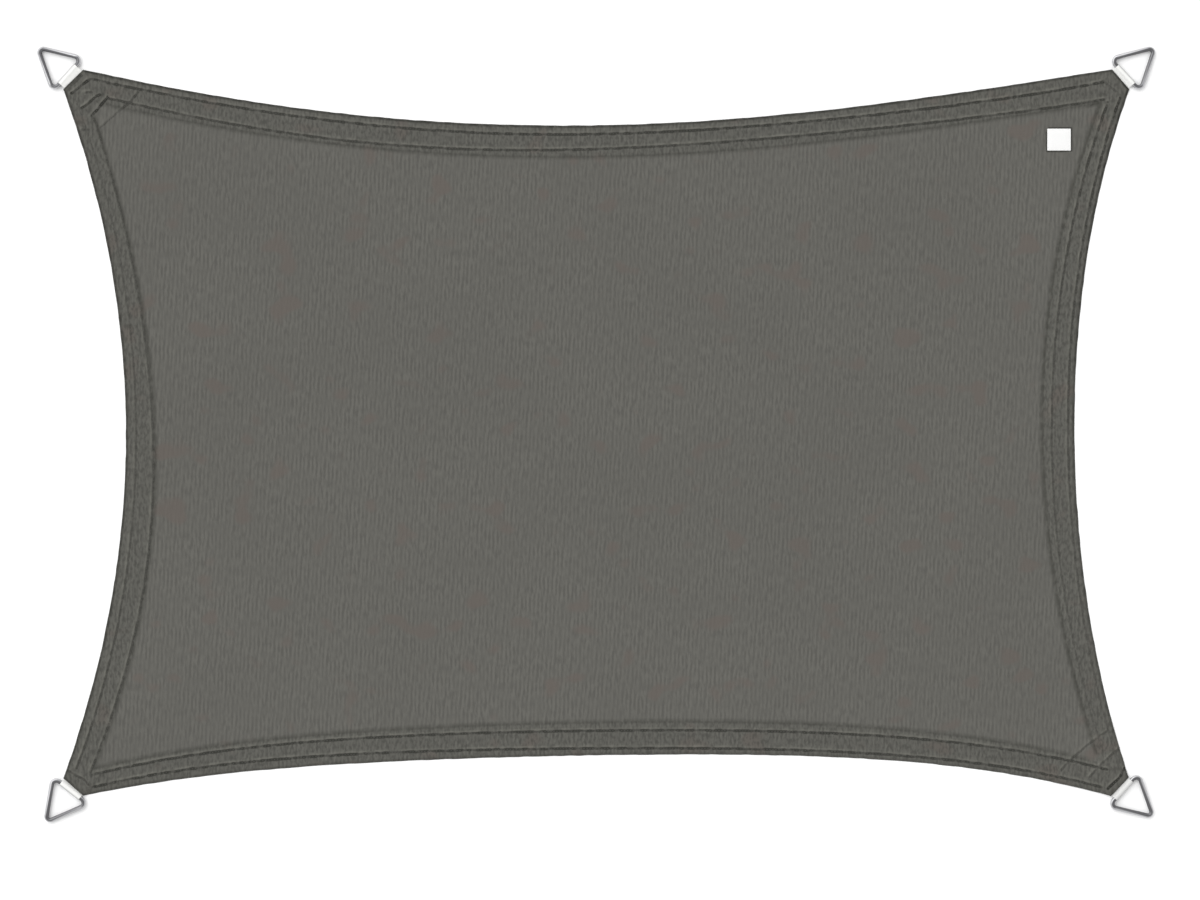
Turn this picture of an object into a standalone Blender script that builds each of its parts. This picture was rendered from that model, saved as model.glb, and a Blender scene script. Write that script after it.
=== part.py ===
"""A rectangular shade sail of knitted cloth, spread out flat on the ground.

The cloth has four inward-curved edges, a doubled hem and four cut-off corners. A webbing loop comes out of
each cut-off corner and holds a triangle ring of round steel wire. Units are metres, +Z is up, +X runs along
the long edges to the right, and the origin is the middle of the ground under the sail.
"""

from collections import namedtuple
from math import asin, atan2, cos, hypot, inf, pi, radians, sin, tan

import bpy
from mathutils import Vector
from mathutils.geometry import delaunay_2d_cdt, intersect_line_line_2d

MM = 0.001

# Cloth, in layers
CLOTH = 1.2 * MM  # one layer of knitted shade cloth
GAP = 0.3 * MM  # air between two pieces
HEM = 84 * MM  # width of the doubled hem
HEM_FALL = 4 * MM  # over which the hem falls to the single cloth
EDGE_STEPS = 28  # straight stretches along each curved edge
EDGE_NUDGE = 0.001  # of an edge's length, to either side of a point, to read the edge's direction there
SAME_PLACE = 0.001 * MM  # points of the flat cut that are nearer than this are one

# Corner patches, a second layer of cloth under the corner
PATCH_REACH = 136 * MM  # from the cut-off corner to the patch's inner edge
PATCH_INSET = 1 * MM  # from the cloth's edge
PATCH_LINE = 400 * MM  # half the line that its inner edge is cut from: long enough to cross both edges
PATCH_FALL = 10 * MM  # over which the cloth falls from the patch to the ground

# Webbing, folded round the ring's bar
WEBBING = 1.5 * MM  # one layer
WEBBING_WIDTH = 66 * MM
TAIL = 80 * MM  # sewn in under the cloth, from the cut-off corner inwards
TAIL_MARGIN = 0.5 * MM  # the cloth lies level this far past the tail
TAIL_FALL = 12 * MM  # over which the cloth falls beside the tail
PAST_CUT = 16 * MM  # folds are drawn this far past the cut, and trimmed at the cloth's edge
LOOP_START = 3 * MM  # from the cut-off corner outwards to where the two layers part
EYE_STEPS = 20  # straight stretches round the eye that holds the bar

# Triangle rings, measured on the wire's centre line
WIRE = 12 * MM  # diameter
WIRE_SIDES = 12
RING_HEIGHT = 111 * MM  # from the bar to the tip, before the corners are rounded
RING_BASE = 121 * MM
TIP_BEND = 10 * MM  # bend radius at the tip
BAR_BEND = 13 * MM  # bend radius at the two ends of the bar
BEND_STEPS = 7  # an odd number, so a flat facet faces the bar at the middle of the tip

# Label
LABEL_SIZE = (64 * MM, 60 * MM)
LABEL_THICKNESS = 1 * MM
LABEL_CENTRE = (1.2575, 0.7995)

BAR_UP = WEBBING + GAP + WIRE / 2  # the bar's centre line above the ground
LOOP_RADIUS = BAR_UP  # the fold's outer radius: its underside lies on the ground
EYE_RADIUS = WIRE / 2 + GAP

# The cut-off corners: the cut's end on the short edge and on the long edge, the direction in which the ring
# points, the bar's distance outside the cut, and whether a patch lies under the corner.
Corner = namedtuple("Corner", "short_end long_end points_to bar_out patch")
CORNERS = {
    "bottom_left": Corner((-1.445, -0.934), (-1.391, -0.981), radians(232), 11 * MM, False),
    "bottom_right": Corner((1.446, -0.931), (1.398, -0.982), radians(-42), 12 * MM, True),
    "top_right": Corner((1.448, 0.936), (1.401, 0.990), radians(43), 16 * MM, False),
    "top_left": Corner((-1.445, 0.936), (-1.391, 0.989), radians(138), 19 * MM, True),
}

# The curved edges, anticlockwise: how deep each curves in at its middle, how far its deepest part leans
# towards its start, and how much its shoulders fall short of a parabola's.
Edge = namedtuple("Edge", "start end long depth lean shoulder")
EDGES = {
    "bottom": Edge("bottom_left", "bottom_right", True, 0.1106, -0.0230, -0.0616),
    "right": Edge("bottom_right", "top_right", False, 0.1481, -0.0062, -0.0144),
    "top": Edge("top_right", "top_left", True, 0.1515, -0.0227, 0.0196),
    "left": Edge("top_left", "bottom_left", False, 0.1700, 0.0, 0.0),
}

COLOURS = {
    "shade_cloth": ((0.133, 0.127, 0.114), 0.85, 0.0),
    "webbing": ((0.80, 0.80, 0.78), 0.80, 0.0),
    "ring_steel": ((0.62, 0.62, 0.63), 0.18, 1.0),
    "label": ((0.86, 0.86, 0.86), 0.60, 0.0),
}


def clear_scene():
    for item in list(bpy.data.objects):
        bpy.data.objects.remove(item)


def material(name):
    found = bpy.data.materials.get(name)
    if found:
        return found
    colour, roughness, metallic = COLOURS[name]
    made = bpy.data.materials.new(name)
    made.use_nodes = True
    shader = made.node_tree.nodes["Principled BSDF"]
    shader.inputs["Base Color"].default_value = (*colour, 1.0)
    shader.inputs["Roughness"].default_value = roughness
    shader.inputs["Metallic"].default_value = metallic
    return made


def add_object(name, points, faces, slot):
    mesh = bpy.data.meshes.new(name)
    mesh.from_pydata(points, [], faces)
    mesh.validate()
    mesh.materials.append(material(slot))
    made = bpy.data.objects.new(name, mesh)
    bpy.context.scene.collection.objects.link(made)
    return made


# ---------- Outline of the cloth ----------


def cut_end(corner, long):
    return Vector(CORNERS[corner].long_end if long else CORNERS[corner].short_end)


def edge_line(edge, inset=0.0):
    """Points along a curved edge from its start to its end, moved into the cloth by inset."""
    start = cut_end(edge.start, edge.long)
    end = cut_end(edge.end, edge.long)
    chord = end - start
    inwards = Vector((-chord.y, chord.x)).normalized()

    def at(t):
        bow = 4 * t * (1 - t)
        depth = bow * (edge.depth - edge.shoulder * (1 - bow) + edge.lean * (1 - 2 * t))
        return start + chord * t + inwards * depth

    points = []
    for i in range(EDGE_STEPS + 1):
        t = i / EDGE_STEPS
        along = at(t + EDGE_NUDGE) - at(t - EDGE_NUDGE)
        points.append(at(t) + Vector((-along.y, along.x)).normalized() * inset)
    return points


def outline():
    return [point for edge in EDGES.values() for point in edge_line(edge)]


def crossing(first, second):
    """Where the end of one line of points crosses the start of the next: index, index, point."""
    for i in range(len(first) - 2, -1, -1):
        for j in range(len(second) - 1):
            point = intersect_line_line_2d(first[i], first[i + 1], second[j], second[j + 1])
            if point:
                return i, j, Vector(point)
    raise ValueError("the two lines don't meet")


def inset_loop(inset):
    """The closed line that runs inside the cloth's edges at this distance, mitred at the corners."""
    lines = [edge_line(edge, inset) for edge in EDGES.values()]
    for k in range(len(lines)):
        after = (k + 1) % len(lines)
        i, j, point = crossing(lines[k], lines[after])
        lines[k] = lines[k][: i + 1] + [point]
        lines[after] = [point] + lines[after][j + 1 :]
    return [point for line in lines for point in line[:-1]]


# ---------- Places round a corner ----------


def corner_frame(corner):
    """The middle of the cut, the direction in which the ring points, and the direction of its bar."""
    middle = (Vector(corner.short_end) + Vector(corner.long_end)) / 2
    outwards = Vector((cos(corner.points_to), sin(corner.points_to)))
    return middle, outwards, Vector((-outwards.y, outwards.x))


def corner_place(corner, inwards, across):
    middle, outwards, bar = corner_frame(corner)
    return middle - outwards * inwards + bar * across


def fall(distance, width):
    """1 up to a distance of 0, and 0 from a distance of width on."""
    return min(1.0, max(0.0, 1.0 - distance / width))


def distance_to_edges(point):
    nearest = inf
    for edge in EDGES.values():
        line = edge_line(edge)
        for a, b in zip(line, line[1:]):
            stretch = b - a
            t = min(1.0, max(0.0, (point - a).dot(stretch) / stretch.length_squared))
            nearest = min(nearest, (point - a - stretch * t).length)
    return nearest


def underside(point):
    """The cloth lies on the ground, on a patch or on a webbing tail."""
    height = 0.0
    for corner in CORNERS.values():
        middle, outwards, bar = corner_frame(corner)
        inwards = (middle - point).dot(outwards)
        across = abs((point - middle).dot(bar))
        if corner.patch:
            past_patch = inwards - PATCH_REACH - TAIL_MARGIN
            height += (CLOTH + GAP) * fall(past_patch, PATCH_FALL)
        past_tail = max(inwards - TAIL, across - WEBBING_WIDTH / 2) - TAIL_MARGIN
        height += (2 * WEBBING + GAP) * fall(past_tail, TAIL_FALL)
    return height


def topside(point):
    layers = 1 + fall(distance_to_edges(point) - HEM, HEM_FALL)
    return underside(point) + CLOTH * layers


# ---------- Solids ----------


def slab(name, edge_points, low, high, slot, hole=(), creases=()):
    """A closed sheet over a flat outline, between two heights that are functions of the place."""
    points = [Vector(p) for p in edge_points]
    faces = [tuple(range(len(points)))]
    if hole:
        faces.append(tuple(range(len(points), len(points) + len(hole))))
        points += [Vector(p) for p in hole]
    lines = []
    for crease in creases:
        first = len(points)
        points += [Vector(p) for p in crease]
        lines += [(i, i + 1) for i in range(first, len(points) - 1)]
    places, _, triangles, _, _, parents = delaunay_2d_cdt(points, lines, faces, 1, SAME_PLACE)
    triangles = [t for t, inside in zip(triangles, parents) if not hole or len(inside) == 1]
    used = sorted({i for t in triangles for i in t})
    renumbered = {old: new for new, old in enumerate(used)}
    flat = [places[i] for i in used]
    kept = [tuple(renumbered[i] for i in t) for t in triangles]

    count = len(flat)
    solid_points = [(p.x, p.y, low(p)) for p in flat] + [(p.x, p.y, high(p)) for p in flat]
    solid_faces = [tuple(i + count for i in t) for t in kept] + [t[::-1] for t in kept]
    sides = {(t[k], t[(k + 1) % 3]) for t in kept for k in range(3)}
    for a, b in sorted(sides):
        if (b, a) not in sides:
            solid_faces.append((a, b, b + count, a + count))
    return add_object(name, solid_points, solid_faces, slot)


def corner_creases(corner):
    """Fold lines of the cloth over a webbing tail, and over a patch's inner edge."""
    creases = []
    turns = []
    for out in (0.0, TAIL_FALL):
        deep = TAIL + TAIL_MARGIN + out
        wide = WEBBING_WIDTH / 2 + TAIL_MARGIN + out
        turns.append([corner_place(corner, deep, side * wide) for side in (1, -1)])
        ends = [corner_place(corner, -PAST_CUT, side * wide) for side in (1, -1)]
        creases.append([ends[0], *turns[-1], ends[1]])
    creases += [[inner, outer] for inner, outer in zip(*turns)]
    if corner.patch:
        for out in (0.0, PATCH_FALL):
            deep = PATCH_REACH + TAIL_MARGIN + out
            creases.append([corner_place(corner, deep, side * PATCH_LINE) for side in (1, -1)])
    return creases


def make_cloth():
    creases = []
    for inset in (HEM, HEM + HEM_FALL):
        loop = inset_loop(inset)
        creases.append(loop + loop[:1])
    for corner in CORNERS.values():
        creases += corner_creases(corner)
    return slab("sail_cloth", outline(), underside, topside, "shade_cloth", creases=creases)


def make_patch(name, corner):
    """The stretch of cloth under a corner, from the cut to a straight inner edge."""
    before = next(edge for edge in EDGES.values() if CORNERS[edge.end] is corner)
    after = next(edge for edge in EDGES.values() if CORNERS[edge.start] is corner)
    inner = [corner_place(corner, PATCH_REACH, side * PATCH_LINE) for side in (1, -1)]
    coming = edge_line(before, PATCH_INSET)
    going = edge_line(after, PATCH_INSET)
    _, first, enters = crossing(inner, coming)
    last, _, leaves = crossing(going, inner)
    points = [enters, *coming[first + 1 :], *going[: last + 1], leaves]
    return slab(name, points, lambda p: 0.0, lambda p: CLOTH, "shade_cloth")


def tangent_angle(centre, radius, point, side):
    """The angle on a circle where a line from an outer point touches it."""
    away = point - centre
    return atan2(away.y, away.x) + side * (pi / 2 - asin(radius / away.length))


def arc(centre, radius, start, end, steps):
    return [
        centre + Vector((cos(a), sin(a))) * radius
        for a in (start + (end - start) * i / steps for i in range(steps + 1))
    ]


def make_webbing(name, corner):
    """One strip folded round the bar: its section, with the eye for the bar, runs along the bar."""
    tail_floor = CLOTH + GAP if corner.patch else 0.0
    bar = Vector((corner.bar_out, BAR_UP))
    lower = Vector((LOOP_START, tail_floor))
    upper = Vector((LOOP_START, tail_floor + 2 * WEBBING))
    start = tangent_angle(bar, LOOP_RADIUS, lower, 1) - 2 * pi
    end = tangent_angle(bar, LOOP_RADIUS, upper, -1)
    fold = arc(bar, LOOP_RADIUS, start, end, EYE_STEPS)
    section = [Vector((-TAIL, tail_floor)), lower, *fold, upper, Vector((-TAIL, upper.y))]
    eye = arc(bar, EYE_RADIUS / cos(pi / EYE_STEPS), 0, 2 * pi, EYE_STEPS)[:-1]
    half = WEBBING_WIDTH / 2
    made = slab(name, section, lambda p: -half, lambda p: half, "webbing", hole=eye)
    middle, _, _ = corner_frame(corner)
    made.location = (*middle, 0.0)
    made.rotation_euler = (pi / 2, 0.0, corner.points_to)
    return made


def bend(corner, before, after, radius):
    """Points round one bend of the wire's centre line, where it turns left at a corner."""
    coming = (before - corner).normalized()
    going = (after - corner).normalized()
    half = coming.angle(going) / 2
    centre = corner + (coming + going).normalized() * radius / sin(half)
    start = corner + coming * radius / tan(half) - centre
    first = atan2(start.y, start.x)
    return arc(centre, radius, first, first + pi - 2 * half, BEND_STEPS)


def ring_path():
    """The wire's centre line, anticlockwise, with the bar on the Y axis and the tip at +X."""
    tip = Vector((RING_HEIGHT, 0.0))
    right = Vector((0.0, -RING_BASE / 2))
    left = Vector((0.0, RING_BASE / 2))
    return [
        *bend(right, left, tip, BAR_BEND),
        *bend(tip, right, left, TIP_BEND),
        *bend(left, tip, right, BAR_BEND),
    ]


def tip_reach():
    """How far the wire's centre line reaches from the bar."""
    return max(point.x for point in ring_path())


def ring_tilt():
    """The turn about the bar that lets the tip rest on the ground."""
    flat = WIRE / 2 * cos(pi / WIRE_SIDES)
    reach = tip_reach() + WIRE / 2 * sin(pi / WIRE_SIDES)
    return asin(BAR_UP / hypot(reach, flat)) - atan2(flat, reach)


def make_ring(name, corner):
    path = ring_path()
    count = len(path)
    points = []
    for i, place in enumerate(path):
        coming = (place - path[i - 1]).normalized()
        going = (path[(i + 1) % count] - place).normalized()
        along = (coming + going).normalized()
        outwards = Vector((along.y, -along.x))
        stretch = 1 / along.dot(coming)
        for k in range(WIRE_SIDES):
            angle = (k + 0.5) * 2 * pi / WIRE_SIDES
            across = outwards * cos(angle) * WIRE / 2 * stretch
            points.append((place.x + across.x, place.y + across.y, sin(angle) * WIRE / 2))
    faces = []
    for i in range(count):
        here = i * WIRE_SIDES
        there = (i + 1) % count * WIRE_SIDES
        for k in range(WIRE_SIDES):
            after = (k + 1) % WIRE_SIDES
            faces.append((here + k, there + k, there + after, here + after))
    made = add_object(name, points, faces, "ring_steel")
    middle, outwards, _ = corner_frame(corner)
    made.location = (*(middle + outwards * corner.bar_out), BAR_UP)
    made.rotation_euler = (0.0, ring_tilt(), corner.points_to)
    return made


def make_label():
    wide, high = (side / 2 for side in LABEL_SIZE)
    points = [(-wide, -high), (wide, -high), (wide, high), (-wide, high)]
    made = slab("label", points, lambda p: 0.0, lambda p: LABEL_THICKNESS, "label")
    made.location = (*LABEL_CENTRE, CLOTH + GAP)
    return made


def stand_on_origin(pieces):
    """Hangs every piece on one empty, and puts the middle of the ground under them at the origin."""
    bpy.context.view_layer.update()
    places = [piece.matrix_world @ vertex.co for piece in pieces for vertex in piece.data.vertices]
    empty = bpy.data.objects.new("sail_origin", None)
    bpy.context.scene.collection.objects.link(empty)
    for piece in pieces:
        piece.parent = empty
    for axis in range(2):
        along = [place[axis] for place in places]
        empty.location[axis] = -(min(along) + max(along)) / 2


def make_sail():
    clear_scene()
    pieces = [make_cloth(), make_label()]
    for name, corner in CORNERS.items():
        if corner.patch:
            pieces.append(make_patch(f"patch_{name}", corner))
        pieces.append(make_webbing(f"webbing_{name}", corner))
        pieces.append(make_ring(f"ring_{name}", corner))
    stand_on_origin(pieces)


make_sail()
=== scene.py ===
"""The looks of a rectangular shade sail of knitted cloth, spread out flat and seen from straight above.

The cloth, its corner patches, the webbing loops, the wire rings and the label are built again here in finer
meshes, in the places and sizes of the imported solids. Units are metres, +Z is up.
"""

from collections import namedtuple
from math import asin, atan2, cos, hypot, pi, radians, sin, tan

import bpy
import numpy as np
from mathutils import Euler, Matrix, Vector
from mathutils.geometry import delaunay_2d_cdt
from mathutils.kdtree import KDTree


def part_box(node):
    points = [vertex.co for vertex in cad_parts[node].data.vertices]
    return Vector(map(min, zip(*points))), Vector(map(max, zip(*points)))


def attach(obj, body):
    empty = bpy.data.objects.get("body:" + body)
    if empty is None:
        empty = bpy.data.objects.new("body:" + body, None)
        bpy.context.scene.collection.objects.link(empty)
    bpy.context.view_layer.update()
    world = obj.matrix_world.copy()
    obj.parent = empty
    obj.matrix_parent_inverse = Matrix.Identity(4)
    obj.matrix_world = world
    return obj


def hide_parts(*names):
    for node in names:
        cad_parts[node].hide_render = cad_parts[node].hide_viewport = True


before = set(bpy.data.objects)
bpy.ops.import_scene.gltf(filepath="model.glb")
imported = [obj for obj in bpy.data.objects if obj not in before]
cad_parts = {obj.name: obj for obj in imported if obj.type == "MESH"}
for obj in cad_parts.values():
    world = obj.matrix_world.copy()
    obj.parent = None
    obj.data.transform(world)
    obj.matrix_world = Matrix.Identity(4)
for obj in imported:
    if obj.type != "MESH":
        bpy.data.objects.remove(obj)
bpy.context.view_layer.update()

MM = 0.001

# ---------- Sizes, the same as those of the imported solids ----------

CLOTH = 1.2 * MM  # one layer of knitted shade cloth
GAP = 0.3 * MM  # air between two pieces
PATCH_REACH = 136 * MM  # from the cut-off corner to a corner patch's inner edge
PATCH_INSET = 1 * MM  # from the cloth's edge
PATCH_FALL = 10 * MM  # over which the cloth falls from the patch to the ground
WEBBING = 1.5 * MM  # one layer
WEBBING_WIDTH = 66 * MM
TAIL = 80 * MM  # sewn in under the cloth, from the cut-off corner inwards
TAIL_MARGIN = 0.5 * MM  # the cloth lies level this far past the tail
TAIL_FALL = 12 * MM  # over which the cloth falls beside the tail
LOOP_START = 3 * MM  # from the cut-off corner outwards to where the two layers part
WIRE = 12 * MM
RING_HEIGHT = 111 * MM  # from the bar to the tip, before the corners are rounded
RING_BASE = 121 * MM
TIP_BEND = 10 * MM
BAR_BEND = 13 * MM
BAR_UP = WEBBING + GAP + WIRE / 2  # the bar's centre line above the ground

# The cut-off corners: the cut's end on the short edge and on the long edge, the direction in which the ring
# points, the bar's distance outside the cut, and whether a patch lies under the corner.
Corner = namedtuple("Corner", "short_end long_end points_to bar_out patch")
CORNERS = {
    "bottom_left": Corner((-1.445, -0.934), (-1.391, -0.981), radians(232), 11 * MM, False),
    "bottom_right": Corner((1.446, -0.931), (1.398, -0.982), radians(-42), 12 * MM, True),
    "top_right": Corner((1.448, 0.936), (1.401, 0.990), radians(43), 16 * MM, False),
    "top_left": Corner((-1.445, 0.936), (-1.391, 0.989), radians(138), 19 * MM, True),
}

# A row of stitches or the hem's inner edge: its distance from the cloth's edge, in mm, at evenly spaced
# places from the edge's start to its end, and how strongly it shows at both ends.
Row = namedtuple("Row", "offsets shows")

# The curved edges, anticlockwise: how deep each curves in at its middle, how far its deepest part leans
# towards its start, how much its shoulders fall short of a parabola's, how dark the painted shade along its
# rim is at both ends, and its rows.
Edge = namedtuple("Edge", "start end long depth lean shoulder rim outer inner hem")
EDGES = {
    "bottom": Edge("bottom_left", "bottom_right", True, 0.1106, -0.0230, -0.0616, rim=(0.5, 0.25),
                   outer=Row((16, 24.5, 18, 14.5, 17), (0.95, 0.85)),
                   inner=Row((49, 66, 66, 63.5, 67), (0.9, 0.85)),
                   hem=Row((66, 85, 90, 87, 79), (0.5, 0.5))),
    "right": Edge("bottom_right", "top_right", False, 0.1481, -0.0062, -0.0144, rim=(0.5, 1.1),
                  outer=Row((15.5, 16.5, 17, 17, 16), (0.15, 1.0)),
                  inner=Row((41.5, 56.5, 61, 55, 41.5), (0.1, 0.9)),
                  hem=Row((62, 78, 88, 82, 58), (0.65, 0.7))),
    "top": Edge("top_right", "top_left", True, 0.1515, -0.0227, 0.0196, rim=(0.95, 0.95),
                outer=Row((29, 31, 24.5, 23.5, 23.5, 21.5, 20), (0.95, 0.85)),
                inner=Row((77, 70, 61, 64, 71, 69.5, 60), (0.85, 0.75)),
                hem=Row((86, 85, 86, 86, 78), (0.35, 0.4))),
    "left": Edge("top_left", "bottom_left", False, 0.1700, 0.0, 0.0, rim=(0.85, 0.8),
                 outer=Row((21.5, 27, 27.5, 29.5, 23.5), (0.1, 0.7)),
                 inner=Row((52, 54.5, 61.5, 73, 81, 77, 62), (0.25, 0.75)),
                 hem=Row((56, 62, 79, 86, 66), (0.65, 0.3))),
}

# How far inwards of the cut-off corner each row begins, in mm: the outer and the inner row of the edge that
# ends at the corner, then of the edge that starts there.
ROW_ENDS = {
    "bottom_left": (45, 66, 30, 54),
    "bottom_right": (32, 53, 18, 86),
    "top_right": (31, 67, 39, 67),
    "top_left": (34, 101, 22, 165),
}

# The seams that hold each corner together: how strongly each shows, and its points in mm, inwards from the
# middle of the cut and across.
Seam = namedtuple("Seam", "shows points")
SEAMS = {
    "bottom_left": (
        Seam(0.7, ((26, -39), (30, -12), (34, 10), (31, 30))),
        Seam(0.8, ((52, 20), (60, 12), (68, 10))),
    ),
    "bottom_right": (
        Seam(1.05, ((24, 46), (21, 33), (17, 14), (19, -2), (21, -25))),
        Seam(0.45, ((79, -36), (79, 10), (76, 40), (70, 80))),
        Seam(0.45, ((148, -73), (148, -36), (139, 34), (126, 92))),
    ),
    "top_right": (Seam(0.3, ((37, 28), (30, -32))),),
    "top_left": (
        Seam(0.6, ((8, 30), (10, -26))),
        Seam(1.1, ((22, 31), (33, -30))),
        Seam(1.1, ((101, -28), (103, 40))),
        Seam(0.35, ((103, 40), (121, 45), (142, 53), (172, 77))),
        Seam(0.9, ((82, -18), (77, -8), (72, 36), (68, 44))),
        Seam(0.6, ((46, 6), (63, -9))),
        Seam(0.7, ((153, -92), (156, -52), (151, -34))),
        Seam(0.35, ((151, -34), (143, 35), (141, 60))),
        Seam(0.5, ((109, 85), (121, 74))),
    ),
}

EDGE_NUDGE = 0.001  # of an edge's length, to either side of a point, to read the edge's direction there
EDGE_ROUNDS = 4  # of bringing the nearest place on an edge closer
SAME_PLACE = 0.001 * MM

# ---------- Fineness of the meshes ----------

ALONG_STEP = 7 * MM  # between points along the edges
CUT_STEPS = 10  # stretches along each cut-off corner
CUT_MARGIN = 0.02  # of a cut's length, left free at both ends of the lines of points beside it
RIM_LINES = (0.35, 1.2, 2.6)  # lines of points beside the edge, in mm, round its rounded rim
RIM_MARGIN = 3 * MM  # all other points keep this far inside the edge
LINE_SPACING = 1.2  # the least between two lines of points along an edge, in mm
SEAM_LINES = (-7.5, -5, -2.5, 0, 2.5, 5, 7.5)  # lines of points beside the seams of a corner, in mm
SEAM_GAP = 1.5 * MM  # between those and the lines along the edges
SEAM_STEP = 1 * MM  # between the points from which distances to the seams are read
CORNER_STEP = 3.5 * MM  # between points in the sewn corners
CORNER_DEPTH = 200 * MM  # of a sewn corner, inwards of its cut
CORNER_HALF = 240 * MM  # to either side of the cut's middle
FIELD_MARGIN = 60 * MM  # from the edge inwards to the open cloth
PATCH_HALF = 200 * MM  # to either side of a corner's middle, along a patch's inner edge
STEP_LINES = (0.4, 3, 6, 9, 13)  # lines of points underneath, past a patch or a tail, in mm
STEP_MARGIN = 1.5 * MM  # from the edge to those
STEP_GAP = 1.2 * MM  # between those and the lines along the edges
TRIANGLE_HEIGHT = 0.866  # of a triangle with sides of 1
CELLS_ACROSS = 1_000_000  # more than a row of cells has, to give each cell its own number

# A side of the cloth: its lines of points beside each row of stitches and beside the hem's inner edge, in
# mm, and at shares of the way to the outer row and on to the inner row. Then, for the sewn corners and for
# the open cloth, the step between points and the gap to the points that are there already.
Side = namedtuple("Side", "row_lines hem_lines shares corner_step corner_gap field_step field_gap")
TOP_SIDE = Side((-9.5, -7, -4.5, -2, 0, 2, 4.5, 7, 9.5), (-5, -2.5, 0, 2.5, 5, 9, 14, 22), (1 / 3, 2 / 3),
                CORNER_STEP, 1.7 * MM, 20 * MM, 9 * MM)
UNDERSIDE = Side((-6, -3, 0, 3, 6), (0, 12), (), 12 * MM, 4 * MM, 60 * MM, 20 * MM)

# ---------- Relief of the cloth ----------

HEM_FALL = 5 * MM  # over which the hem falls to the single cloth
ROW_DEPTH = 0.75 * MM  # how deep the thread pulls the cloth in
ROW_WIDTH = 3.4 * MM
FAINT_ROW = 0.4  # share of that depth where a seam doesn't show
RIDGE = 1.1 * MM  # pushed up by the sewing machine's foot on one side of each row
RIDGE_OFFSET = 5.5 * MM
RIDGE_WIDTH = 3.2 * MM
RIDGE_SIDE = (-0.64, 0.77)  # the side of the rows on which the ridge lies
RIDGE_GAIN = 1.8  # its height against how strongly the seam shows, up to full height
PILLOW = (0.45 * MM, 0.9 * MM, 0.4 * MM)  # swelling between rim, outer row, inner row and the hem's edge
PILLOW_POWER = 0.8  # of a sine: below 1 the swelling is fuller
PUCKER = 0.34 * MM  # cross wrinkles that the rows draw into the hem
PUCKER_SLANT = 0.25
PUCKER_FADE = 60 * MM  # inwards of the hem
SWELL = 1.5 * MM  # slow waves of the open cloth on the ground
SWELL_START = 250 * MM  # inwards of the hem, where they are at their highest
EDGE_WAVE = 1.3 * MM  # how far the edge wanders outwards of its curve
EDGE_WAVE_FADE = 0.02  # of the edge's length, at both ends
PATCH_HEM = 100 * MM  # from the cut inwards to where the hem's inner edge comes out of the sewn corner
PLAIN_HEM = 55 * MM
HEM_EMERGE = 15 * MM
LABEL_CLEAR = 12 * MM  # round the label the cloth lies level
EDGE_CLEAR = 6 * MM  # and along its own edge
UNDER_SHOWS = 0.6  # how strongly the rows show from below
FAR = 40  # mm: distances that the finish reads are stored up to this

# Random unevenness: its middle, how far it swings to both sides, how long and wide its humps are, and the
# seed of its random heights, which goes up by one from edge to edge.
Uneven = namedtuple("Uneven", "middle swing length width seed")
SLOW_WAVES = Uneven(1, 1, 330 * MM, 330 * MM, 5)
PILLOWS = Uneven(0.7, 0.3, 55 * MM, 200 * MM, 11)
PUCKERS = Uneven(1, 1, 17 * MM, 45 * MM, 21)
GATHERS = Uneven(0.6, 0.4, 200 * MM, 200 * MM, 31)
GROOVES = Uneven(0.8, 0.2, 9 * MM, 9 * MM, 41)
RIDGES = Uneven(0.65, 0.5, 18 * MM, 18 * MM, 43)
EDGE_WAVES = Uneven(0.5, 0.5, 24 * MM, 24 * MM, 51)
RANDOM_CELLS = 97  # along each side of the grid of random heights, which repeats after that


def linear(code):
    """An sRGB hex colour as linear red, green, blue and alpha."""
    parts = [int(code[i : i + 2], 16) / 255 for i in (1, 3, 5)]
    return (*(p / 12.92 if p <= 0.04045 else ((p + 0.055) / 1.055) ** 2.4 for p in parts), 1.0)


def smooth_step(x):
    x = np.clip(x, 0.0, 1.0)
    return x * x * (3 - 2 * x)


def uneven(kind, x, y, edge=0):
    """Smooth random humps over flat places in metres."""
    x, y = x / kind.length, y / kind.width
    grid = np.random.default_rng(kind.seed + edge).uniform(-1.0, 1.0, (RANDOM_CELLS, RANDOM_CELLS))
    column, row = np.floor(x).astype(int), np.floor(y).astype(int)
    u, v = (w * w * w * (w * (6 * w - 15) + 10) for w in (x - column, y - row))
    left, right, low, high = (cell % RANDOM_CELLS for cell in (column, column + 1, row, row + 1))
    near = grid[left, low] * (1 - u) + grid[right, low] * u
    far = grid[left, high] * (1 - u) + grid[right, high] * u
    return kind.middle + kind.swing * (near * (1 - v) + far * v)


def rounded(inset, half):
    """The share of its half thickness that a sheet has this far inside its round edge."""
    return np.sqrt(1 - (1 - np.clip(inset / half, 0, 1)) ** 2)


def left_of(way):
    return np.stack([-way[:, 1], way[:, 0]], axis=1)


def unit(way):
    return way / np.linalg.norm(way, axis=1)[:, None]


def lengths_along(line):
    """The length of a line up to each of its points."""
    return np.concatenate([[0], np.cumsum(np.linalg.norm(np.diff(line, axis=0), axis=1))])


def walk(line, step):
    """Evenly spaced points along a line."""
    lengths = lengths_along(line)
    places = np.linspace(0, lengths[-1], max(2, round(lengths[-1] / step) + 1))
    return np.stack([np.interp(places, lengths, line[:, axis]) for axis in range(2)], axis=1)


# ---------- Outline, rows and seams of the cloth ----------

cut_ends = np.array([end for c in CORNERS.values() for end in (c.short_end, c.long_end)])
cloth_low, cloth_high = (np.array(corner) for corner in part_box("sail_cloth"))
SHIFT = cloth_low[:2] - cut_ends.min(axis=0)  # from the tables above to the frame


def cut_end(name, long):
    corner = CORNERS[name]
    return np.array(corner.long_end if long else corner.short_end) + SHIFT


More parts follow.
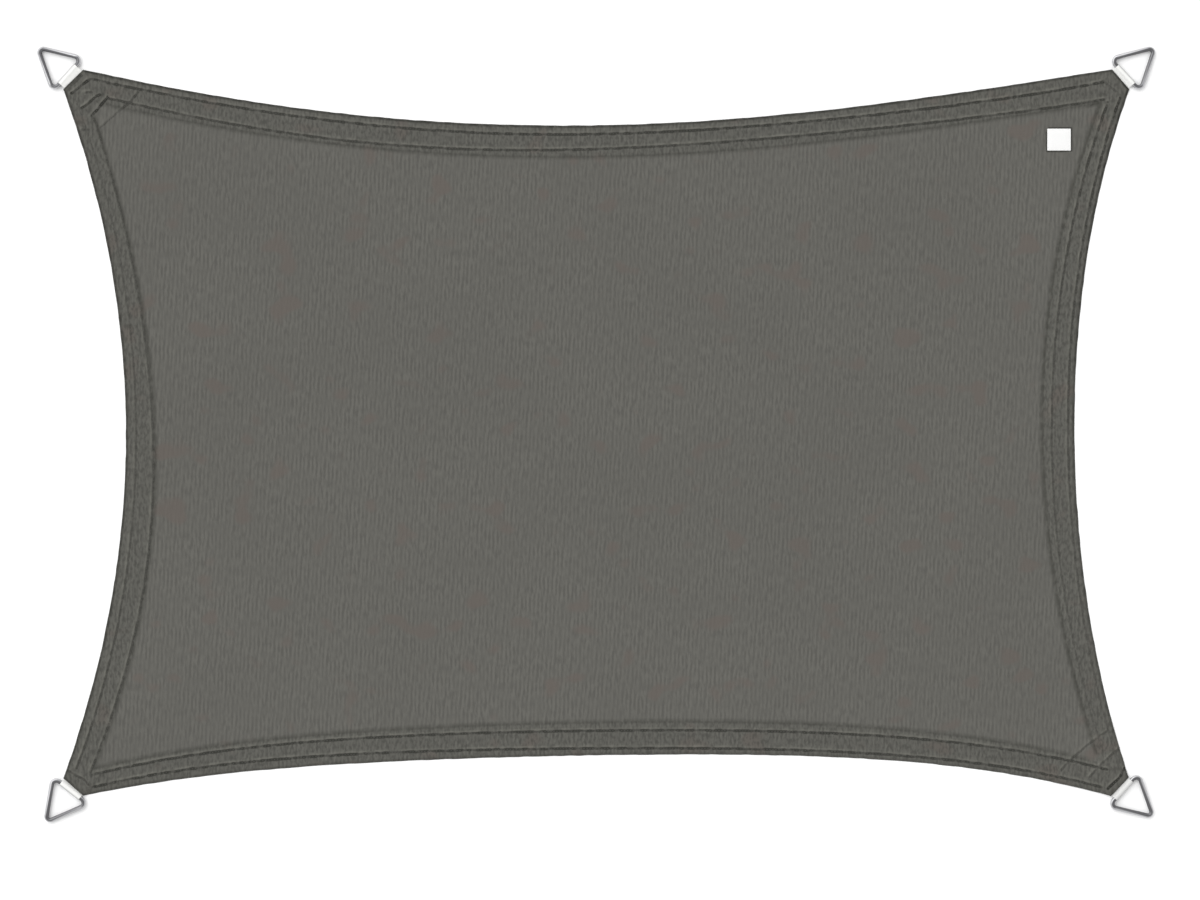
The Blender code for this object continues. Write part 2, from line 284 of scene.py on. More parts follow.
def chord_of(edge):
    """The straight line between an edge's ends: its start, its way and its length."""
    start = cut_end(edge.start, edge.long)
    way = cut_end(edge.end, edge.long) - start
    return start, way, hypot(*way)


def edge_at(edge, t):
    start, way, length = chord_of(edge)
    inwards = np.array((-way[1], way[0])) / length
    bow = 4 * t * (1 - t)
    depth = bow * (edge.depth - edge.shoulder * (1 - bow) + edge.lean * (1 - 2 * t))
    return start + np.outer(t, way) + np.outer(depth, inwards)


def edge_way(edge, t):
    """The edge's direction."""
    return unit(edge_at(edge, t + EDGE_NUDGE) - edge_at(edge, t - EDGE_NUDGE))


def beside_edge(edge, t, inset):
    """Points at a distance inside the edge."""
    return edge_at(edge, t) + left_of(edge_way(edge, t)) * np.broadcast_to(inset, t.shape)[:, None]


def from_edge(edge, points):
    """Where points lie beside an edge: their share of its length, and how far inside it they are."""
    start, way, length = chord_of(edge)
    t = (points - start) @ way / length**2
    for _ in range(EDGE_ROUNDS):
        t = t + np.sum((points - edge_at(edge, t)) * edge_way(edge, t), axis=1) / length
    return t, np.sum((points - edge_at(edge, t)) * left_of(edge_way(edge, t)), axis=1)


def edge_steps(edge):
    """Evenly spaced shares of the edge's length."""
    _, _, length = chord_of(edge)
    return np.linspace(0, 1, round(length / ALONG_STEP) + 1)


def line_at(row, t):
    """A row's distance from the edge in metres, on a smooth curve through its offsets in mm."""
    count = len(row.offsets)
    return np.polyval(np.polyfit(np.linspace(0, 1, count), row.offsets, count - 1), np.clip(t, 0, 1)) * MM


def corner_axes(corner):
    """The middle of the cut, the direction in which the ring points, and the direction of its bar."""
    middle = (np.array(corner.short_end) + np.array(corner.long_end)) / 2 + SHIFT
    outwards = np.array((cos(corner.points_to), sin(corner.points_to)))
    return middle, outwards, np.array((-outwards[1], outwards[0]))


def from_corner(corner, points):
    """How far inwards of the middle of the cut points are, and how far across."""
    middle, outwards, bar = corner_axes(corner)
    return (middle - points) @ outwards, (points - middle) @ bar


def corner_places(corner, places):
    """Points given in metres inwards of the cut and across."""
    middle, outwards, bar = corner_axes(corner)
    return middle - np.outer(places[:, 0], outwards) + np.outer(places[:, 1], bar)


def cut_line(corner):
    """The cut: its start, its way, and the direction inwards, which is towards the middle of the frame."""
    start, end = np.array((corner.short_end, corner.long_end)) + SHIFT
    way = end - start
    across = np.array((-way[1], way[0])) / hypot(*way)
    return start, way, across if across @ start < 0 else -across


def from_cut(corner, points):
    """How far inside the cut points are."""
    start, _, inwards = cut_line(corner)
    return (points - start) @ inwards


def inset_of(points):
    """How far inside the cloth's outline points are."""
    edges = [from_edge(edge, points)[1] for edge in EDGES.values()]
    return np.min(edges + [from_cut(corner, points) for corner in CORNERS.values()], axis=0)


def seam_lines():
    """Every row and seam of the cloth: a line of points, and how strongly it shows at each."""
    found = []
    for edge in EDGES.values():
        t = edge_steps(edge)
        for place, row in enumerate((edge.outer, edge.inner)):
            line = beside_edge(edge, t, line_at(row, t))
            from_start, _ = from_corner(CORNERS[edge.start], line)
            from_end, _ = from_corner(CORNERS[edge.end], line)
            first, last = ROW_ENDS[edge.start][2 + place], ROW_ENDS[edge.end][place]
            kept = (from_start > first * MM) & (from_end > last * MM)
            found.append((line[kept], np.interp(t[kept], (0, 1), row.shows)))
    for name, seams in SEAMS.items():
        for seam in seams:
            line = walk(corner_places(CORNERS[name], np.array(seam.points) * MM), CORNER_STEP)
            found.append((line, np.full(len(line), seam.shows)))
    return found


# ---------- Heights of the cloth ----------

sewn_lines = seam_lines()
fine_lines = [walk(line, SEAM_STEP) for line, _ in sewn_lines]
seam_shows = np.concatenate([
    np.interp(np.linspace(0, 1, len(fine)), np.linspace(0, 1, len(line)), shows)
    for fine, (line, shows) in zip(fine_lines, sewn_lines)
])
seam_tree = KDTree(len(seam_shows))
for i, (x, y) in enumerate(np.concatenate(fine_lines)):
    seam_tree.insert((x, y, 0.0), i)
seam_tree.balance()

label_low, label_high = (np.array(corner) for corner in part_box("label"))


def from_seams(points):
    """How far the nearest seam is, how strongly it shows, and how high its ridge is, from 0 to 1."""
    found = [seam_tree.find((x, y, 0.0)) for x, y in points]
    nearest = np.array([(place.x, place.y) for place, _, _ in found])
    distance = np.array([distance for _, _, distance in found])
    side = (points - nearest) @ RIDGE_SIDE / np.maximum(distance, SAME_PLACE)
    ridge = np.exp(-(((distance - RIDGE_OFFSET) / RIDGE_WIDTH) ** 2)) * np.clip(side, 0, 1)
    return distance, seam_shows[[i for _, i, _ in found]], ridge


def from_label(points):
    """How far outside the label's outline points are, or inside it where negative."""
    return np.maximum(label_low[:2] - points, points - label_high[:2]).max(axis=1)


def ground_of(points):
    """The cloth's underside: it lies on the ground, on a patch or on a webbing tail."""
    height = np.zeros(len(points))
    for corner in CORNERS.values():
        inwards, across = from_corner(corner, points)
        if corner.patch:
            height += (CLOTH + GAP) * smooth_step(1 - (inwards - PATCH_REACH - TAIL_MARGIN) / PATCH_FALL)
        past_tail = np.maximum(inwards - TAIL, np.abs(across) - WEBBING_WIDTH / 2) - TAIL_MARGIN
        height += (2 * WEBBING + GAP) * smooth_step(1 - past_tail / TAIL_FALL)
    return height


def hem_relief(k, edge, t, inside, marks):
    """The swelling of a hem between its rows, which lie at the marks, and the cross wrinkles beside them."""
    _, _, length = chord_of(edge)
    along = t * length
    lift = np.zeros(len(t))
    for low, high, swell in zip(marks, marks[1:], PILLOW):
        share = np.clip((inside - low) / np.maximum(high - low, MM), 0, 1)
        lift += swell * np.sin(pi * share) ** PILLOW_POWER * uneven(PILLOWS, along, inside, k)
    reach = np.exp(-np.maximum(inside - marks[-1], 0) / PUCKER_FADE)
    wrinkle = uneven(PUCKERS, along + PUCKER_SLANT * inside, inside, k)
    return lift + PUCKER * reach * wrinkle * uneven(GATHERS, along, 0 * t, k)


# What the finish reads at each point: the distances from the nearest seam, from the hem's inner edge
# outwards, from the cloth's edge and from the label, and how strongly the nearest seam, its ridge, the hem's
# inner edge and the rim show. With them go the heights of both sides and the distance from the nearest edge's
# two rows.
DISTANCES = ("seam", "hem", "edge", "label")
STRENGTHS = ("seam_shows", "ridge", "hem_shows", "rim_shows")
Lie = namedtuple("Lie", ("low", "high", *DISTANCES, *STRENGTHS, "row"))


def lie_of(points):
    beside = [from_edge(edge, points) for edge in EDGES.values()]
    nearest = np.argmin([inside for _, inside in beside], axis=0)
    hem_depth = np.full(len(points), -1.0)
    hem_shows, rim_shows, row, lift = np.zeros((4, len(points)))
    for k, (edge, (t, inside)) in enumerate(zip(EDGES.values(), beside)):
        here = nearest == k
        marks = [0 * t, line_at(edge.outer, t), line_at(edge.inner, t), line_at(edge.hem, t)]
        hem_depth = np.maximum(hem_depth, marks[-1] - inside)
        hem_shows += here * np.interp(t, (0, 1), edge.hem.shows)
        rim_shows += here * np.interp(t, (0, 1), edge.rim)
        row += here * np.minimum(np.abs(inside - marks[1]), np.abs(inside - marks[2]))
        lift += here * hem_relief(k, edge, t, inside, marks)
    for corner in CORNERS.values():
        inwards, _ = from_corner(corner, points)
        hem_shows *= smooth_step((inwards - (PATCH_HEM if corner.patch else PLAIN_HEM)) / HEM_EMERGE)
    x, y = points.T
    lift += SWELL / 2 * uneven(SLOW_WAVES, x, y) * smooth_step(-hem_depth / SWELL_START)
    seam, seam_shown, ridge = from_seams(points)
    ridge *= np.minimum(RIDGE_GAIN * seam_shown, 1) * uneven(RIDGES, x, y)
    lift += RIDGE * ridge
    groove = np.exp(-((seam / ROW_WIDTH) ** 2)) * ROW_DEPTH * uneven(GROOVES, x, y)
    groove *= FAINT_ROW + (1 - FAINT_ROW) * np.minimum(seam_shown, 1)
    label = from_label(points)
    edge_inset = inset_of(points)
    layers = 1 + smooth_step(hem_depth / HEM_FALL + 0.5)
    half = CLOTH * layers / 2
    rim = rounded(edge_inset, half)
    lift *= smooth_step(label / LABEL_CLEAR) * smooth_step(edge_inset / EDGE_CLEAR)
    middle = ground_of(points) + half + lift
    return Lie(middle - half * rim, middle + half * rim - groove * rim,
               seam, hem_depth, edge_inset, label, seam_shown, ridge, hem_shows, rim_shows, row)


# ---------- Points of the cloth's two sides ----------


def outline():
    """The cloth's edge as one closed line, anticlockwise."""
    shares = np.linspace(0, 1, CUT_STEPS + 1)[1:-1]
    points = []
    for k, edge in enumerate(EDGES.values()):
        t = edge_steps(edge)
        wave = uneven(EDGE_WAVES, np.arange(len(t)) * ALONG_STEP, 0 * t, k)
        wave *= smooth_step(np.minimum(t, 1 - t) / EDGE_WAVE_FADE)
        points.append(beside_edge(edge, t, -EDGE_WAVE * wave))
        start, end = cut_end(edge.end, edge.long), cut_end(edge.end, not edge.long)
        points.append(start + np.outer(shares, end - start))
    return np.concatenate(points)


def inside_all(points, but, inset):
    """Whether points are further than inset from every edge but one, and inside the cuts."""
    keep = np.ones(len(points), bool)
    for name, edge in EDGES.items():
        if name != but:
            keep &= from_edge(edge, points)[1] > inset
    for corner in CORNERS.values():
        keep &= from_cut(corner, points) > np.minimum(inset, RIM_LINES[-1] * MM)
    return keep


def band_points(side):
    """Lines of points along the edges: beside the rim, the rows and the hem's inner edge."""
    found = []
    for name, edge in EDGES.items():
        t = edge_steps(edge)
        outer, inner, hem = (line_at(row, t) / MM for row in (edge.outer, edge.inner, edge.hem))
        marks = [np.full(len(t), line) for line in RIM_LINES]
        marks += [row + line for row in (outer, inner) for line in side.row_lines]
        marks += [hem + line for line in side.hem_lines]
        for low, high in ((0 * t, outer), (outer, inner)):
            marks += [low + (high - low) * share for share in side.shares]
        last = np.zeros(len(t))
        for mark in np.sort(np.array(marks), axis=0):
            rim = mark <= RIM_LINES[-1]
            keep = rim | (mark - np.maximum(last, RIM_LINES[-1]) > LINE_SPACING)
            last = np.where(keep, mark, last)
            line = beside_edge(edge, t, mark * MM)
            found.append(line[keep & inside_all(line, name, mark * MM)])
    return np.concatenate(found)


def grid_points(low, high, step):
    """A grid of triangles' corners over a rectangle."""
    rise = step * TRIANGLE_HEIGHT
    count = np.ceil((np.array(high) - low) / (step, rise)).astype(int) + 1
    column, row = np.meshgrid(np.arange(count[0]), np.arange(count[1]))
    x = low[0] + (column + 0.5 * (row % 2)) * step
    return np.stack([x.ravel(), (low[1] + row * rise).ravel()], axis=1)


def uncrowded(points, others, reach):
    """The points that have none of the others within about reach."""
    cells = np.floor(points / reach).astype(np.int64)
    taken = np.floor(others / reach).astype(np.int64) @ (CELLS_ACROSS, 1)
    near = np.zeros(len(points), bool)
    for step in ((a, b) for a in (-1, 0, 1) for b in (-1, 0, 1)):
        near |= np.isin((cells + step) @ (CELLS_ACROSS, 1), taken)
    return points[~near]


def corner_points(step):
    """A grid over each sewn corner, and lines of points beside its cut."""
    shares = np.linspace(CUT_MARGIN, 1 - CUT_MARGIN, CUT_STEPS * 2)
    found = []
    for corner in CORNERS.values():
        places = grid_points((RIM_MARGIN, -CORNER_HALF), (CORNER_DEPTH, CORNER_HALF), step)
        points = corner_places(corner, places)
        found.append(points[inset_of(points) > RIM_MARGIN])
        start, way, inwards = cut_line(corner)
        for line in RIM_LINES:
            points = start + np.outer(shares, way) + inwards * line * MM
            edges = np.min([from_edge(edge, points)[1] for edge in EDGES.values()], axis=0)
            found.append(points[edges > line * MM])
    return np.concatenate(found)


def corner_seam_points():
    """Lines of points beside the seams of the corners."""
    found = []
    for line, _ in sewn_lines[2 * len(EDGES) :]:
        for start, way in zip(line, np.diff(line, axis=0)):
            side = np.array((-way[1], way[0])) / hypot(*way)
            found += [np.array((start, start + way)) + side * offset * MM for offset in SEAM_LINES]
    found = np.concatenate(found)
    return found[inset_of(found) > RIM_MARGIN]


def step_points():
    """Lines of points where the cloth's underside steps down beside a patch and round a webbing tail."""
    found = []
    for corner in CORNERS.values():
        for past in STEP_LINES:
            half, end, inner = (size + past * MM for size in (WEBBING_WIDTH / 2, TAIL, PATCH_REACH))
            routes = [((RIM_MARGIN, -half), (end, -half), (end, half), (RIM_MARGIN, half))]
            if corner.patch:
                routes.append(((inner, -PATCH_HALF), (inner, PATCH_HALF)))
            found += [corner_places(corner, walk(np.array(route), CORNER_STEP)) for route in routes]
    found = np.concatenate(found)
    return found[inset_of(found) > STEP_MARGIN]


def fill_in(points, side):
    """The points with those of the sewn corners and of the open cloth added."""
    points = np.concatenate([points, uncrowded(corner_points(side.corner_step), points, side.corner_gap)])
    field = grid_points(cloth_low[:2], cloth_high[:2], side.field_step)
    field = field[inset_of(field) > FIELD_MARGIN]
    return np.concatenate([points, uncrowded(field, points, side.field_gap)])


def top_points():
    bands = band_points(TOP_SIDE)
    return fill_in(np.concatenate([bands, uncrowded(corner_seam_points(), bands, SEAM_GAP)]), TOP_SIDE)


def under_points():
    steps = step_points()
    return fill_in(np.concatenate([steps, uncrowded(band_points(UNDERSIDE), steps, STEP_GAP)]), UNDERSIDE)


# ---------- Meshes ----------


def triangles_over(points, loop_size):
    """Triangles over flat points of which the first loop_size are the outline, in order."""
    flat = [Vector(point) for point in points]
    _, _, faces, origins, _, _ = delaunay_2d_cdt(flat, [], [tuple(range(loop_size))], 1, SAME_PLACE)
    origin = np.array([source[0] for source in origins])
    return origin[np.array(faces)]


def close_sheet(count, top, top_faces, bottom, bottom_faces):
    """One closed sheet from its two sides, whose first points, this many, are the outline that they share."""
    down = bottom_faces[:, ::-1]
    down = np.where(down < count, down, down - count + len(top))
    return np.concatenate([top, bottom[count:]]), np.concatenate([top_faces, down])


def tube_faces(rings, sides, closed=False):
    """Faces between rings of points that follow one another, with this many points to a ring."""
    faces = []
    for ring in range(rings if closed else rings - 1):
        here, there = ring * sides, (ring + 1) % rings * sides
        for k in range(sides):
            after = (k + 1) % sides
            faces.append((here + k, here + after, there + after, there + k))
    return faces


def add_mesh(name, points, faces, material, slot):
    mesh = bpy.data.meshes.new(name)
    mesh.from_pydata(np.asarray(points).tolist(), [], [tuple(int(i) for i in face) for face in faces])
    mesh.validate()
    mesh.shade_smooth()
    mesh.materials.append(material)
    made = bpy.data.objects.new(name, mesh)
    bpy.context.scene.collection.objects.link(made)
    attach(made, "root")
    return made


def set_values(piece, name, values):
    attribute = piece.data.attributes.new(name, "FLOAT", "POINT")
    attribute.data.foreach_set("value", np.asarray(values, np.float32))


MAP_MARGIN = 0.02
MAP_SPREAD = 4 / 3  # of the cloth's length, so that both its sides fit in the square map


def lay_out(piece, length):
    """A flat map of the piece from above, with its two sides one over the other."""
    layer = piece.data.uv_layers.new(name="OFBake")
    mesh = piece.data
    places = np.zeros(len(mesh.vertices) * 3)
    mesh.vertices.foreach_get("co", places)
    places = places.reshape(-1, 3)
    corners = np.zeros(len(mesh.loops), int)
    mesh.loops.foreach_get("vertex_index", corners)
    up = np.repeat([polygon.normal.z > 0 for polygon in mesh.polygons], [p.loop_total for p in mesh.polygons])
    low = places[:, :2].min(axis=0)
    flat = (places[corners, :2] - low) / (length * MAP_SPREAD) * (1 - 2 * MAP_MARGIN) + MAP_MARGIN
    flat[:, 1] += np.where(up, 0.5, 0.0)
    layer.data.foreach_set("uv", flat.ravel())


def make_cloth(material):
    loop = outline()
    count = len(loop)
    upper, lower = (np.concatenate([loop, points]) for points in (top_points(), under_points()))
    lie, lie_under = lie_of(upper), lie_of(lower)
    # From below only the two rows show, and neither the corners' seams, the ridges nor the label do.
    none = np.zeros(len(lower))
    lie_under = lie_under._replace(
        seam=lie_under.row, label=none + FAR, seam_shows=none + UNDER_SHOWS, ridge=none)
    points, faces = close_sheet(
        count,
        np.column_stack([upper, lie.high]), triangles_over(upper, count),
        np.column_stack([lower, lie_under.low]), triangles_over(lower, count),
    )
    used, renumbered = np.unique(faces, return_inverse=True)
    cloth = add_mesh("shade_cloth", points[used], renumbered.reshape(-1, 3), material, "shade_cloth")
    for name in DISTANCES + STRENGTHS:
        both = np.concatenate([getattr(lie, name), getattr(lie_under, name)[count:]])[used]
        set_values(cloth, name, np.clip(both / MM, -FAR, FAR) if name in DISTANCES else both)
    lay_out(cloth, (cloth_high - cloth_low)[:2].max())
    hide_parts("sail_cloth")
    return cloth


# ---------- Materials ----------


def add_node(tree, kind, inputs=None, output=0, **settings):
    """Add a shader node with its settings and its inputs' values or links, and return one of its outputs."""
    made = tree.nodes.new("ShaderNode" + kind)
    for name, value in settings.items():
        setattr(made, name, value)
    for name, value in (inputs or {}).items():
        if isinstance(value, bpy.types.NodeSocket):
            tree.links.new(value, made.inputs[name])
        else:
            made.inputs[name].default_value = value
    return made.outputs[output]


def start_material(name, **values):
    """A new material with its shader's own values set."""
    made = bpy.data.materials.new(name)
    made.use_nodes = True
    shader = made.node_tree.nodes["Principled BSDF"]
    for key, value in values.items():
        shader.inputs[key.replace("_", " ")].default_value = value
    return made, made.node_tree


def cover(tree, colour, height=None, depth=0.0):
    """Give the material its colour and its relief, of this depth in metres."""
    shader = tree.nodes["Principled BSDF"]
    tree.links.new(colour, shader.inputs["Base Color"])
    if height is not None:
        relief = add_node(tree, "Bump", {"Height": height, "Distance": depth, "Strength": 1.0})
        tree.links.new(relief, shader.inputs["Normal"])


WAVE_FACTOR = 20  # the wave node multiplies each place by this before it takes the sine

RIBS = (  # of the knit: period in mm, slant in degrees, and share of the relief
    (11.2, 4.2, 0.26),
    (10.6, -4.0, 0.12),
    (21.8, 8.2, 0.10),
)
KNIT_NOISES = {  # unevenness of the knit: its size in mm along the sail and across, and its detail
    "yarn": (6, 24, 2.0),
    "slack": (70, 55, 1.0),
    "warmth": (100, 80, 1.0),
    "clouds": (420, 380, 1.0),
    "flecks": (6.5, 15, 2.0),
    "thread": (19, 19, 1.0),
}

Fade = namedtuple("Fade", "of start end first last")  # smooth, from the first number to the last
IN_HEM = Fade("hem", -3.0, 3.0, 0.0, 1.0)

# What lies over the knit's own colour: a tint, and shares that are multiplied with one another. Each share is
# a fade, a value stored in the mesh or a number. Some tints are painted shade and one is a painted highlight,
# as marked.
KNIT_LAYERS = (
    ("#5c5651", Fade("warmth", 0.6, 0.72, 0.0, 0.8)),  # slightly warmer yarn
    ("#4f4e4a", Fade("clouds", 0.35, 0.65, 0.0, 0.13)),
    ("#494943", IN_HEM, 0.25),  # the doubled cloth lets less light through
    ("#393935", Fade("flecks", 0.42, 0.66, 0.0, 0.55), IN_HEM),
    ("#78776f", "ridge", 0.5),  # painted highlight along the ridge
    ("#32322d", Fade("hem", -11.0, 0.0, 0.0, 0.9), Fade("hem", 1.5, 7.5, 1.0, 0.0), "hem_shows",
     Fade("thread", 0.3, 0.6, 0.5, 1.0)),  # painted shade along the hem's inner edge, where the folded layer steps down
    # the dark thread of the rows, and painted shade in their grooves
    ("#2b2b27", Fade("row", 0.5, 1.4, 0.95, 0.0), "seam_shows", Fade("thread", 0.36, 0.54, 0.5, 1.0)),
    # painted shade along the cloth's rounded rim
    ("#292925", Fade("edge", 3.5, 8.5, 0.85, 0.0), "rim_shows", Fade("thread", 0.4, 0.6, 0.6, 1.0)),
    ("#292925", Fade("label", 2.5, 5.5, 0.8, 0.0)),  # painted shade round the label's edge
)


def knitted_cloth():
    """Knitted polyethylene shade cloth: matt tapes and threads in fine, slightly slanting ribs."""
    made, tree = start_material("knitted_polyethylene", Roughness=0.88, Specular_IOR_Level=0.2)
    place = add_node(tree, "TexCoord", output="Object")
    value = {}
    for name in DISTANCES + STRENGTHS:
        value[name] = add_node(tree, "Attribute", output="Fac", attribute_name=name)
    for name, (along, across, detail) in KNIT_NOISES.items():
        sized = add_node(tree, "Mapping", {
            "Vector": place, "Scale": (1 / (along * MM), 1 / (across * MM), 1.0)})
        value[name] = add_node(tree, "TexNoise", {"Vector": sized, "Scale": 1.0, "Detail": detail})
    smooth = {"interpolation_type": "SMOOTHSTEP"}
    tone = add_node(tree, "Math", {0: value["yarn"], 1: 1.1}, operation="MULTIPLY")
    for period, slant, share in RIBS:
        turned = add_node(tree, "Mapping", {"Vector": place, "Rotation": (0.0, 0.0, radians(slant))})
        wave = add_node(tree, "TexWave", {
            "Vector": turned, "Scale": 2 * pi / (WAVE_FACTOR * period * MM), "Distortion": 0.9, "Detail": 1.0,
            "Detail Scale": 0.8}, "Fac", bands_direction="X")
        tone = add_node(tree, "Math", {0: wave, 1: share, 2: tone}, operation="MULTIPLY_ADD")
    tone = add_node(tree, "MapRange", {"Value": tone, "From Min": 0.4, "From Max": 1.15}, **smooth)
    # Where the cloth is slack its ribs are flatter and a little lighter.
    slack = {"Value": value["slack"], "From Min": 0.4, "From Max": 0.6}
    contrast = add_node(tree, "MapRange", {**slack, "To Min": 1.45, "To Max": 0.85}, **smooth)
    lighter = add_node(tree, "MapRange", {**slack, "To Min": -0.225, "To Max": 0.075}, **smooth)
    tone = add_node(tree, "Math", {0: tone, 1: contrast, 2: lighter}, operation="MULTIPLY_ADD")
    colour = add_node(tree, "Mix", {
        "Factor": tone, 6: linear("#52514d"), 7: linear("#5f5e59")}, 2, data_type="RGBA")
    # Rows are wider where the thread pulls harder and where they show more: distances are taken in widths.
    width = add_node(tree, "MapRange", {
        "Value": value["thread"], "From Min": 0.35, "From Max": 0.65, "To Min": 2.7, "To Max": 4.5}, **smooth)
    stronger = add_node(tree, "Math", {0: value["seam_shows"], 1: 0.4, 2: 0.62}, operation="MULTIPLY_ADD")
    width = add_node(tree, "Math", {0: width, 1: stronger}, operation="MULTIPLY")
    value["row"] = add_node(tree, "Math", {0: value["seam"], 1: width}, operation="DIVIDE")
    for tint, *shares in KNIT_LAYERS:
        over = 1.0
        for share in shares:
            if isinstance(share, Fade):
                share = add_node(tree, "MapRange", {
                    "Value": value[share.of], "From Min": share.start, "From Max": share.end,
                    "To Min": share.first, "To Max": share.last}, **smooth)
            elif isinstance(share, str):
                share = value[share]
            over = add_node(tree, "Math", {0: over, 1: share}, operation="MULTIPLY")
        colour = add_node(tree, "Mix", {"Factor": over, 6: colour, 7: linear(tint)}, 2, data_type="RGBA")
    cover(tree, colour, tone, 0.3 * MM)
    return made


THREAD_LIGHTER = 1.3  # painted sheen: random patches of the thread made this much lighter


def sewing_thread(name, colour):
    """Bonded polyester thread, slightly glossy from its coating, with painted sheen in random lighter
    patches.
    """
    made, tree = start_material(name, Roughness=0.5)
    place = add_node(tree, "TexCoord", output="Object")
    shade = add_node(tree, "TexNoise", {"Vector": place, "Scale": 1 / (30 * MM), "Detail": 1.0})
    light = [min(1.0, part * THREAD_LIGHTER) for part in linear(colour)]
    # painted sheen: lighter random patches
    mixed = add_node(tree, "Mix", {"Factor": shade, 6: linear(colour), 7: light}, 2, data_type="RGBA")
    cover(tree, mixed)
    return made


def woven_webbing():
    """Woven polyester webbing: off-white, matt, with fine ribs along its length, greyed by painted shade at
    the fold and over some loops.
    """
    made, tree = start_material("woven_polyester_webbing", Roughness=0.7, Sheen_Weight=0.1)
    waves = []
    # Real webbing has about 12 ribs to the centimetre: 3.3 mm ribs show, those do not.
    for value, pitch in (("across", 3.3), ("along", 2.2)):
        place = add_node(tree, "Attribute", output="Fac", attribute_name=value)
        angle = add_node(tree, "Math", {0: place, 1: 2 * pi / pitch}, operation="MULTIPLY")
        waves.append(add_node(tree, "Math", {0: angle}, operation="SINE"))
    weave = add_node(tree, "Math", {0: waves[0], 1: waves[1]}, operation="MULTIPLY")
    tone = add_node(tree, "MapRange", {"Value": weave, "From Min": -1.0})
    colour = add_node(tree, "Mix", {
        "Factor": tone, 6: linear("#ededea"), 7: linear("#fafaf7")}, 2, data_type="RGBA")
    # painted shade: grey where the fold turns down, and over some whole loops
    painted_shade = add_node(tree, "Attribute", output="Fac", attribute_name="painted_shade")
    colour = add_node(tree, "Mix", {"Factor": painted_shade, 6: colour, 7: linear("#bcbcbb")}, 2, data_type="RGBA")
    cover(tree, colour, tone, 0.25 * MM)
    return made


def polished_steel():
    """Stainless steel wire, tumbled bright. Its colour carries painted shade on the wire's inner side and
    inside the bends, and a painted reflection, lighter, on its outer side.
    """
    made, tree = start_material("polished_stainless_steel", Metallic=1.0)
    place = add_node(tree, "TexCoord", output="Object")
    wear = add_node(tree, "TexNoise", {"Vector": place, "Scale": 1 / (14 * MM), "Detail": 3.0})
    outer = add_node(tree, "Attribute", output="Fac", attribute_name="outer")
    # painted shade on the wire's inner side, painted reflection on its outer side
    bright = add_node(tree, "MapRange", {
        "Value": outer, "From Min": -0.45, "From Max": 0.1}, interpolation_type="SMOOTHSTEP")
    colour = add_node(tree, "Mix", {
        "Factor": bright, 6: linear("#6c6c6e"), 7: linear("#b8b8ba")}, 2, data_type="RGBA")
    cover(tree, colour)
    rough = add_node(tree, "MapRange", {"Value": wear, "To Min": 0.24, "To Max": 0.4})
    tree.links.new(rough, tree.nodes["Principled BSDF"].inputs["Roughness"])
    return made


def satin_tape():
    """Woven satin label tape: white and smooth, with fine threads across."""
    made, tree = start_material("woven_satin_tape", Roughness=0.45, Sheen_Weight=0.1)
    place = add_node(tree, "TexCoord", output="Object")
    # Real tape has about 30 threads to the centimetre: 2.4 mm bands show, those do not.
    bands = add_node(tree, "TexWave", {
        "Vector": place, "Scale": 2 * pi / (WAVE_FACTOR * 2.4 * MM), "Distortion": 0.4, "Detail": 1.0},
        "Fac", bands_direction="Y")
    colour = add_node(tree, "Mix", {
        "Factor": bands, 6: linear("#dfdfde"), 7: linear("#e8e8e7")}, 2, data_type="RGBA")
    cover(tree, colour, bands, 0.05 * MM)
    return made


# ---------- Stitches ----------

THREAD_PITCH = 8 * MM  # real stitches are 4 mm long: these are coarser, so that they show
THREAD_LENGTH = 6 * MM
THREAD_RADIUS = 0.7 * MM
THREAD_RISE = 0.15 * MM  # of its middle above the cloth
BEAD_RINGS = ((-0.5, 0.0), (-0.36, 0.75), (0.0, 1.0), (0.36, 0.75), (0.5, 0.0))  # share of length, and width
BEAD_SIDES = 6
SEWING_STEPS = 8  # stretches into which a line is divided for each stitch


def bead(start, end, radius):
    """One stitch: a short thread that dives into the cloth at both ends."""
    centre = (start + end) / 2
    along = end - start
    side = np.cross(along, (0, 0, 1))
    side = side / np.linalg.norm(side)
    up = np.cross(side, along / np.linalg.norm(along))
    points = []
    for place, width in BEAD_RINGS:
        middle = centre + along * place - np.array((0, 0, radius)) * (1 - width)
        if width == 0:
            points.append(middle)
            continue
        for k in range(BEAD_SIDES):
            angle = 2 * pi * k / BEAD_SIDES
            points.append(middle + (side * cos(angle) + up * sin(angle)) * radius * width)
    last = len(points) - 1
    last_ring = last - BEAD_SIDES
    faces = [tuple(1 + i for i in face) for face in tube_faces(len(BEAD_RINGS) - 2, BEAD_SIDES)]
    for k in range(BEAD_SIDES):
        after = (k + 1) % BEAD_SIDES
        faces += [(0, 1 + after, 1 + k), (last_ring + k, last_ring + after, last)]
    return points, faces


def make_stitches(name, stretches, radius, material, slot):
    """All stitches of these rows as one joined mesh: a stretch is a start and an end point."""
    points, faces = [], []
    for start, end in stretches:
        found, sides = bead(start, end, radius)
        faces += [tuple(i + len(points) for i in side) for side in sides]
        points += found
    return add_mesh(name, points, faces, material, slot)


def sew(line, pitch, length):
    """Flat start and end points of the stitches along a line."""
    total = lengths_along(line)[-1]
    count = max(1, round(total / pitch))
    fine = walk(line, total / (count * SEWING_STEPS))
    before, middle, after = (fine[SEWING_STEPS // 2 + i :: SEWING_STEPS] for i in (-1, 0, 1))
    half = unit(after - before) * length / 2
    return np.stack([middle - half, middle + half], axis=1)


